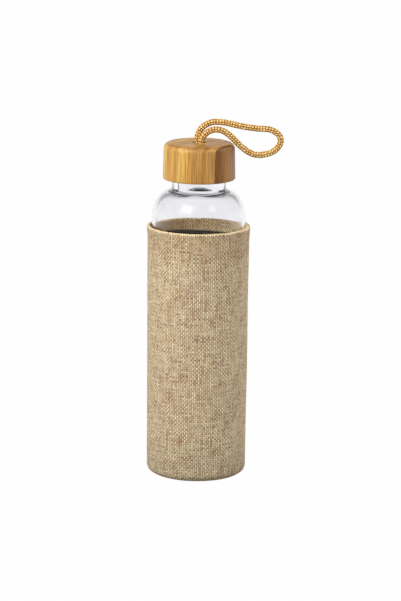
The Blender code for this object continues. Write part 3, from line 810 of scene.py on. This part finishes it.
def make_knot(finish):
    """The tied knot in the cap's pocket: a trefoil pressed flat, and both strands up the hole.
    The trefoil is (sin t + 2 sin 2t, cos t - 2 cos 2t, -sin 3t), scaled to the pocket and open
    where its ends go up. It is pulled tight, so its cord is thinner."""
    t = np.linspace(0.35, 2 * math.pi - 0.35, 90)
    knot = np.column_stack([KNOT_WIDE * (np.sin(t) + 2 * np.sin(2 * t)),
                            KNOT_WIDE * (np.cos(t) - 2 * np.cos(2 * t)),
                            KNOT_HEIGHT - KNOT_TALL * np.sin(3 * t)])
    rear = np.array([*STRAND_PLACE, CAP_TOP - STRAND_DEPTH - GAP])
    front, down = rear * (-1, -1, 1), (0, 0, 1.2 * MM)
    route = smooth_route(np.vstack([rear, rear - down, knot[::6], front - down, front]), 0.3 * MM)
    tube, uv = braided(route, CORD_DIAMETER * KNOT_CORD, 32)
    piece("cord_knot_tied", tube, finish, "knot", "braided_cord", "cord_knot", uv=uv)


def ridge(angle, height, start, first_turn, turns):
    """How much of the thread's height stands at each angle and height: a cosine bump over the
    thread's width round the line start + pitch * turn, faded in and out at both ends."""
    high = np.zeros(np.broadcast_shapes(angle.shape, height.shape))
    for lap in range(4):
        turn = angle / (2 * math.pi) - first_turn % 1 + lap
        off = np.clip(abs(height - start - THREAD_PITCH * turn) / THREAD_HALF, 0, 1)
        fade = np.clip(np.minimum(turn, turns - turn) / THREAD_FADE, 0, 1)
        high = np.maximum(high, (1 + np.cos(math.pi * off**1.3)) / 2 * fade)
    return high


def bottle_section():
    """The wall's section: the outside from under the punt up to the mouth, and the inside down to
    the middle of the floor. The shoulder outside is an ellipse's quarter, and inside it is the
    same line moved in by the wall, which grows from the body's to the shoulder's as sin a. The
    bore narrows towards its foot as 3 t^2 - 2 t^3."""
    shoulder = SHOULDER_TOP - SHOULDER_BOTTOM
    foot, inner_foot = NECK_RADIUS + NECK_FILLET, BORE_FOOT + INNER_FILLET
    floor, inner = GLASS_BOTTOM + GLASS_FLOOR, GLASS_RADIUS - GLASS_WALL
    outside = np.vstack([
        arc((0, GLASS_BOTTOM), PUNT, 90, 0, 16),
        arc((CORNER_CENTRE, GLASS_BOTTOM + HEEL), HEEL, -90, 0, 10),
        divided((GLASS_RADIUS, GLASS_BOTTOM + HEEL), (GLASS_RADIUS, SHOULDER_BOTTOM),
                6 * MM)[1:-1],
        arc((foot, SHOULDER_BOTTOM), (GLASS_RADIUS - foot, shoulder), 0, 90, 48),
        arc((foot, SHOULDER_TOP + NECK_FILLET), NECK_FILLET, 270, 180, 12)[1:],
        divided((NECK_RADIUS, SHOULDER_TOP + NECK_FILLET), (NECK_RADIUS, MOUTH - LIP),
                0.18 * MM)[1:-1],
        arc((NECK_RADIUS - LIP, MOUTH - LIP), LIP, 0, 90, 6),
    ])
    a = np.radians(np.linspace(90, 0, 61))
    line = np.column_stack([foot + (GLASS_RADIUS - foot) * np.cos(a),
                            SHOULDER_BOTTOM + shoulder * np.sin(a)])
    out = np.column_stack([shoulder * np.cos(a), (GLASS_RADIUS - foot) * np.sin(a)])
    out /= np.linalg.norm(out, axis=1, keepdims=True)
    wall = GLASS_WALL + (SHOULDER_WALL - GLASS_WALL) * np.sin(a)
    roof = line - out * wall[:, None]
    roof = roof[roof[:, 0] > inner_foot + 0.2 * MM]
    bore_end = roof[0, 1] + INNER_RISE
    bore = np.linspace(MOUTH - LIP, bore_end, BORE_STEPS)[1:-1]
    high, low = BORE_NARROWS
    narrow = np.clip((high - bore) / (high - low), 0, 1)
    narrow = BORE_RADIUS - (BORE_RADIUS - BORE_FOOT) * (3 - 2 * narrow) * narrow**2
    inside = np.vstack([
        arc((BORE_RADIUS + LIP, MOUTH - LIP), LIP, 90, 180, LIP_STEPS),
        np.column_stack([narrow, bore]),
        arc((inner_foot, bore_end), (INNER_FILLET, INNER_RISE), 180, 270, FOOT_STEPS),
        roof[1:],
        divided((inner, SHOULDER_BOTTOM), (inner, floor + INNER_HEEL), 6 * MM)[1:-1],
        arc((inner - INNER_HEEL, floor + INNER_HEEL), INNER_HEEL, 0, -90, 8),
        [(0, floor)],
    ])
    return outside, inside


def make_bottle(finish):
    """The blown bottle as one closed wall: punt, heel, body, shoulder, neck with its thread, the
    mouth and the whole inside down to the thick floor. The inside is uneven: chance waves round
    it, a lean sin a that fades from the neck's foot as exp(-(distance / reach)^2), and the thin
    places as exp(-(height off / reach)^2 - (angle off / width)^2)."""
    outside, inside = bottle_section()
    section = np.vstack([outside, inside])
    columns = 240
    chance = np.random.default_rng(5)
    angle = thread_angles(columns)
    within = np.arange(len(section)) >= len(outside)
    on_neck = (section[:, 0] == NECK_RADIUS) & ~within
    relief = on_neck[:, None] * THREAD_DEPTH * ridge(angle[None], section[:, 1:],
                                                     NECK_THREAD_START, 0, THREAD_TURNS)
    uneven = within & (section[:, 1] < SHOULDER_TOP) & (section[:, 1] > 0.02)
    waves = np.stack([wavy(columns, WAVE_KNOTS, GLASS_WAVES, chance) for _ in range(2)])
    high = section[:, 1:] / SHOULDER_TOP
    relief = relief + uneven[:, None] * (waves[:1] * high + waves[1:] * (1 - high))
    foot = section[len(outside) + LIP_STEPS + 1 + BORE_STEPS - 2 + FOOT_STEPS // 2]
    near = within * np.exp(-(np.linalg.norm(section - foot, axis=1) / FOOT_REACH)**2)
    relief = relief + near[:, None] * (wavy(columns, WAVE_KNOTS, FOOT_WAVES, chance)
                                       + FOOT_LEAN * np.sin(angle))
    for place, width, depth, height, reach in THIN_PLACES:
        thin = depth * within * np.exp(-((section[:, 1] - height) / reach)**2)
        off = np.degrees(np.angle(np.exp(1j * (angle - math.radians(place)))))
        relief = relief - thin[:, None] * np.exp(-(off / width)**2)
    piece("bottle_glass", turned(section, columns, relief), finish, "bottle", "clear_glass",
          "glass_bottle")


def make_cap(finish):
    """The turned bamboo cap: rounded outside, the cord's hole, the knot's pocket and the bore."""
    section = rounded([
        (CAP_BOTTOM_RADIUS, CAP_BOTTOM, 1.1 * MM), (CAP_TOP_RADIUS, CAP_TOP, 4.1 * MM),
        (HOLE_RADIUS, CAP_TOP, 0.5 * MM), (HOLE_RADIUS, POCKET_TOP, 0.3 * MM),
        (POCKET_RADIUS, POCKET_TOP, 0.6 * MM), (POCKET_RADIUS, CAP_BORE_TOP, 0.3 * MM),
        (CAP_BORE, CAP_BORE_TOP, 0.3 * MM), (CAP_BORE, CAP_BOTTOM, 0.4 * MM),
    ], 1.2 * MM, 8)
    piece("cap_bamboo", turned(section, 192, closed=True), finish, "cap", "bamboo", "bamboo_cap",
          closed=True)


def make_insert(finish):
    """The threaded plastic cup glued into the cap."""
    edge, rim = 0.5 * MM, 0.3 * MM
    bore = divided((INSERT_BORE, INSERT_CEILING - edge), (INSERT_BORE, INSERT_BOTTOM), 0.2 * MM)
    section = np.vstack([
        [(0, INSERT_CEILING)],
        divided((2 * MM, INSERT_CEILING), (INSERT_BORE - edge, INSERT_CEILING), 4 * MM),
        arc((INSERT_BORE - edge, INSERT_CEILING - edge), edge, 90, 0, 4),
        bore[1:-1],
        arc((INSERT_BORE + rim, INSERT_BOTTOM + rim), rim, 180, 270, 3),
        arc((INSERT_RADIUS - rim, INSERT_BOTTOM + rim), rim, -90, 0, 3),
        arc((INSERT_RADIUS - edge, INSERT_TOP - edge), edge, 0, 90, 4),
        [(0, INSERT_TOP)],
    ])
    columns = 160
    angle = thread_angles(columns)
    on_bore = (section[:, 0] == INSERT_BORE)[:, None]
    start = NECK_THREAD_START - THREAD_PITCH / 4
    high = ridge(angle[None], section[:, 1:], start, 0.25, THREAD_TURNS)
    piece("insert_plastic", turned(section, columns, on_bore * THREAD_DEPTH * high), finish, "cap",
          "white_plastic", "cap_insert")


def make_seal(finish):
    """The silicone washer under the insert's ceiling."""
    low, high = MOUTH + GAP, MOUTH + GAP + 1.4 * MM
    outer, edge = INSERT_BORE - GAP, 0.3 * MM
    section = rounded([(outer, low, edge), (outer, high, edge), (BORE_RADIUS, high, edge),
                       (BORE_RADIUS, low, edge)], 1 * MM, 4)
    piece("seal_silicone", turned(section, 128, closed=True), finish, "seal", "silicone",
          "sealing_ring", closed=True)


def panel_radius(height):
    """Outer radius of the sleeve's side at a height."""
    widest = SLEEVE_RADIUS + HEM_EASE
    return np.interp(height, [SLEEVE_CORNER, HEM_BOTTOM, SLEEVE_HEIGHT - HEM_THICKNESS / 2],
                     [SLEEVE_RADIUS, widest, widest + RIM_FLARE])


def hem_drop(columns):
    """How much deeper the hem reaches at each column: it was folded a little unevenly."""
    angle = 2 * math.pi * np.arange(columns) / columns
    return HEM_SLANT * (0.7 * np.cos(angle - HEM_DEEPEST) + 0.3 * np.cos(3 * angle + 0.8))


def corner(inset, start, end, steps):
    """Round the sleeve's lower corner, this far inside its outer face, between two angles."""
    return arc((CORNER_CENTRE, SLEEVE_CORNER), SLEEVE_CORNER - inset, math.degrees(start),
               math.degrees(end), steps)


def make_panel(finish):
    """The woven side: a closed section round the cloth, up the outside, over the rolled rim, down
    the hem inside and back between the cloth and the lining. Every warp has two columns and
    every pick two rows, so the yarns stand in relief. The cloth is drawn in along the hem's
    stitches and sunk at the side seam, as exp(-(distance / reach)^2)."""
    end = BASE_SEAM + HALF_SEAM
    tip = CLOTH / 2 / SLEEVE_CORNER
    rim = panel_radius(SLEEVE_HEIGHT) - HEM_THICKNESS / 2
    edge_centre = corner(CLOTH / 2, end + tip, end + tip, 1)[0]
    edge_turn = math.degrees(end + tip)
    hem_inside = panel_radius(HEM_BOTTOM) - HEM_THICKNESS
    heights = np.linspace(SLEEVE_CORNER, SLEEVE_HEIGHT - HEM_THICKNESS / 2, 400)
    drawn_in = DRAWN_IN * np.exp(-((heights - HEM_STITCH_HEIGHT) / GROOVE_REACH)**2)
    outside = np.vstack([
        arc(edge_centre, CLOTH / 2, edge_turn - 90, edge_turn, 6),
        corner(0, end + tip, 0, 12)[1:],
        np.column_stack([panel_radius(heights) - drawn_in, heights])[1:],
        arc((rim, SLEEVE_HEIGHT - HEM_THICKNESS / 2), HEM_THICKNESS / 2, 0, 180, 12)[1:],
        arc((hem_inside + HEM_EDGE, HEM_BOTTOM + HEM_EDGE), HEM_EDGE, 180, 270, 4),
    ])
    picks = math.floor(along(outside)[-1] / PICK)
    face = at(outside, np.linspace(0, along(outside)[-1], 2 * picks + 1))
    down = np.linspace(HEM_BOTTOM, SLEEVE_CORNER, 6)
    back = np.vstack([np.column_stack([panel_radius(down) - CLOTH, down]),
                      corner(CLOTH, 0, end + tip, 4)[1:]])
    section = np.vstack([face, back])
    columns = 2 * WARPS
    u, v = (np.arange(columns) + 1) / 2, (np.arange(len(section)) + 1) / 2
    relief = woven(u[None], v[:, None], YARN_CRIMP, YARN_RELIEF) - YARN_RELIEF
    slub = np.repeat(rng.normal(0, SLUB, WARPS), 2)
    relief = relief * (1 + slub[None] * wavy(len(section), 60, 0.6)[:, None])
    soft = wavy(columns, 9, SOFTNESS)[None] * np.sin(v * 0.09)[:, None]
    gap = np.minimum(np.arange(columns), columns - np.arange(columns)) * (
        2 * math.pi * SLEEVE_RADIUS / columns)
    seam = -SEAM_GROOVE * np.exp(-(gap / GROOVE_REACH)**2)[None]
    shown = np.ones((len(section), 1))
    shown[len(face) - 2:] = 0
    shown[:2] = 0.3
    relief = shown * (relief + seam) + soft * (np.arange(len(section)) < len(face))[:, None]
    points = turned(section, columns, relief, closed=True)
    inner = np.arange(len(section)) > np.argmax(section[:, 1])
    points[..., 2] -= hem_drop(columns) * (inner * np.clip(
        (SLEEVE_HEIGHT - section[:, 1]) / (SLEEVE_HEIGHT - HEM_BOTTOM), 0, 1) * np.clip(
        section[:, 1] / HEM_BOTTOM, 0, 1)**4)[:, None]
    uv = grid_uv((np.arange(columns + 1) + 1) / 2, (np.arange(len(section) + 1) + 1) / 2)
    made = piece("sleeve_weave", points, finish, "sleeve", "woven_cloth", "sleeve_panel", uv=uv,
                 closed=True)


def level_uv(flat, columns, yarn):
    """Yarn coordinates of a round base, whose yarns run straight across it once it is flat."""
    angle = angles(columns, 1)
    return flat[:, None, None] * np.stack([np.cos(angle), np.sin(angle)], -1) / yarn


def cup_section(inset, cloth, seam, steps):
    """Half the section of a round base with its edge turned up: underside, edge, upper side."""
    tip = cloth / 2 / SLEEVE_CORNER
    centre = corner(inset + cloth / 2, seam - tip, seam - tip, 1)[0]
    turn = math.degrees(seam - tip)
    under = np.vstack([divided((0, inset), (CORNER_CENTRE, inset), 0.4 * MM)[:-1],
                       corner(inset, -math.pi / 2, seam - tip, steps),
                       arc(centre, cloth / 2, turn, turn + 180, 6)[1:-1]])
    upper = np.vstack([corner(inset + cloth, seam - tip, -math.pi / 2, 6),
                       [(CORNER_CENTRE / 2, inset + cloth), (0, inset + cloth)]])
    return under, upper


def make_base(finish):
    """The round woven base, its straight yarns running across and turned up with its edge."""
    under, upper = cup_section(0, CLOTH, BASE_SEAM - HALF_SEAM, 14)
    section = np.vstack([under, upper])
    columns = 360
    flat = np.concatenate([along(under), along(under)[-1] - along(upper)])
    uv = level_uv(flat, columns, PICK * 0.96)
    relief = woven(uv[:, :-1, 0], uv[:, :-1, 1], YARN_CRIMP, YARN_RELIEF) - YARN_RELIEF
    relief = relief - relief.max()
    relief[len(under):] = 0
    points = turned(section, columns, relief)
    made = piece("base_weave", points, finish, "sleeve", "woven_cloth", "sleeve_base", uv=uv)


def make_lining(finish):
    """The black lining: a smooth tube that touches the glass, and its round base."""
    inset = CLOTH + GAP
    top = HEM_BOTTOM - GAP
    outer = SLEEVE_RADIUS - inset
    wall = np.vstack([corner(inset, LINING_SEAM, 0, 8),
                      divided((outer, SLEEVE_CORNER), (outer, top), 4 * MM)[1:],
                      divided((outer - LINING, top), (outer - LINING, SLEEVE_CORNER), 4 * MM),
                      corner(inset + LINING, 0, LINING_SEAM, 8)[1:]])
    columns = 180
    u = np.arange(columns + 1) / columns * 2 * math.pi * outer / LINING_YARN
    v = np.append(along(wall), along(wall)[-1] + LINING) / LINING_YARN
    points = turned(wall, columns, closed=True)
    points[..., 2] -= hem_drop(columns) * (np.clip(wall[:, 1:] / top, 0, 1)**4)
    tube = piece("lining_tube", points, finish, "sleeve", "lining_cloth", "lining_panel",
                 uv=grid_uv(u, v), closed=True)
    under, upper = cup_section(inset, LINING, LINING_SEAM - 2 * HALF_SEAM, 8)
    section = np.vstack([under[::4], under[-1:], upper])
    flat = np.interp(section[:, 0], [0, CORNER_CENTRE, SLEEVE_RADIUS], [0, 28.1, 34.5]) * MM
    disc = piece("lining_disc", turned(section, columns), finish, "sleeve", "lining_cloth",
                 "lining_base", uv=level_uv(flat, columns, LINING_YARN))


def stitches(name, line, outwards, closed, finish, node):
    """A sewing thread along a line of a few points per stitch: it lies on the cloth for most of
    each stitch and dips into it at the ends, as 1 - |cos| to the sixth power."""
    s = along(np.vstack([line, line[:1]]) if closed else line)
    count = round(s[-1] / STITCH)
    phase = s[:len(line)] * count / s[-1]
    lift = STITCH_LIFT - STITCH_DIP * abs(np.cos(math.pi * phase))[:, None]**6
    around = 8
    tube = swept(line + outwards * lift, around, THREAD_DIAMETER / 2, closed)
    rows = len(tube) + closed
    uv = grid_uv(np.arange(around + 1) / around * 2, np.arange(rows) * s[-1] / rows / THREAD_PLY)
    piece(name, tube, finish, "sleeve", "sewing_thread", node, uv=uv, closed=closed)


def ring(radius, height, count):
    """A level circle, and the way outwards at each of its points."""
    a = 2 * math.pi * np.arange(count) / count
    out = np.column_stack([np.cos(a), np.sin(a), np.zeros(count)])
    return radius * out + (0, 0, height), out


def make_threads(finish):
    """The hem's stitches, the base seam's and the side seam's."""
    radius = float(panel_radius(HEM_STITCH_HEIGHT)) - 0.1 * MM
    line, out = ring(radius, HEM_STITCH_HEIGHT, HEM_STITCHES * STITCH_POINTS)
    stitches("hem_stitches", line, out, True, finish, "hem_thread")
    reach = SLEEVE_CORNER - 0.15 * MM
    way = (math.cos(BASE_SEAM), math.sin(BASE_SEAM))
    line, out = ring(CORNER_CENTRE + reach * way[0], SLEEVE_CORNER + reach * way[1],
                     BASE_STITCHES * STITCH_POINTS)
    stitches("base_seam_stitches", line, out * way[0] + (0, 0, way[1]), True, finish,
             "base_seam_thread")
    heights = np.linspace(SLEEVE_CORNER, HEM_STITCH_HEIGHT - 1.1 * MM,
                          SIDE_STITCHES * STITCH_POINTS)
    line = np.column_stack([0 * heights, panel_radius(heights) - 0.2 * MM, heights])
    stitches("side_seam_stitches", line, np.array([0, 1, 0]), False, finish, "side_seam_thread")


def make_object():
    """Every piece, with the finishes that they share."""
    weave = weave_effect()
    cord = cord_finish(weave)
    make_loop(cord)
    make_knot(cord)
    make_bottle(glass_finish())
    make_cap(bamboo_finish())
    make_insert(moulded_finish("white_plastic", 0.3, 0.15, 300.0, (0.76, 0.76, 0.735),
                               (0.84, 0.84, 0.82)))
    make_seal(moulded_finish("silicone", 0.45, 0.3, 500.0, (0.70, 0.70, 0.69),
                             (0.79, 0.79, 0.78)))
    cloth = jute_finish(weave)
    make_panel(cloth)
    make_base(cloth)
    make_lining(lining_finish(weave))
    make_threads(thread_finish())


make_camera()
make_object()
make_floor()
make_world()
for lamp in LAMPS:
    softbox(*lamp)
bpy.context.scene.view_settings.view_transform = "Standard"
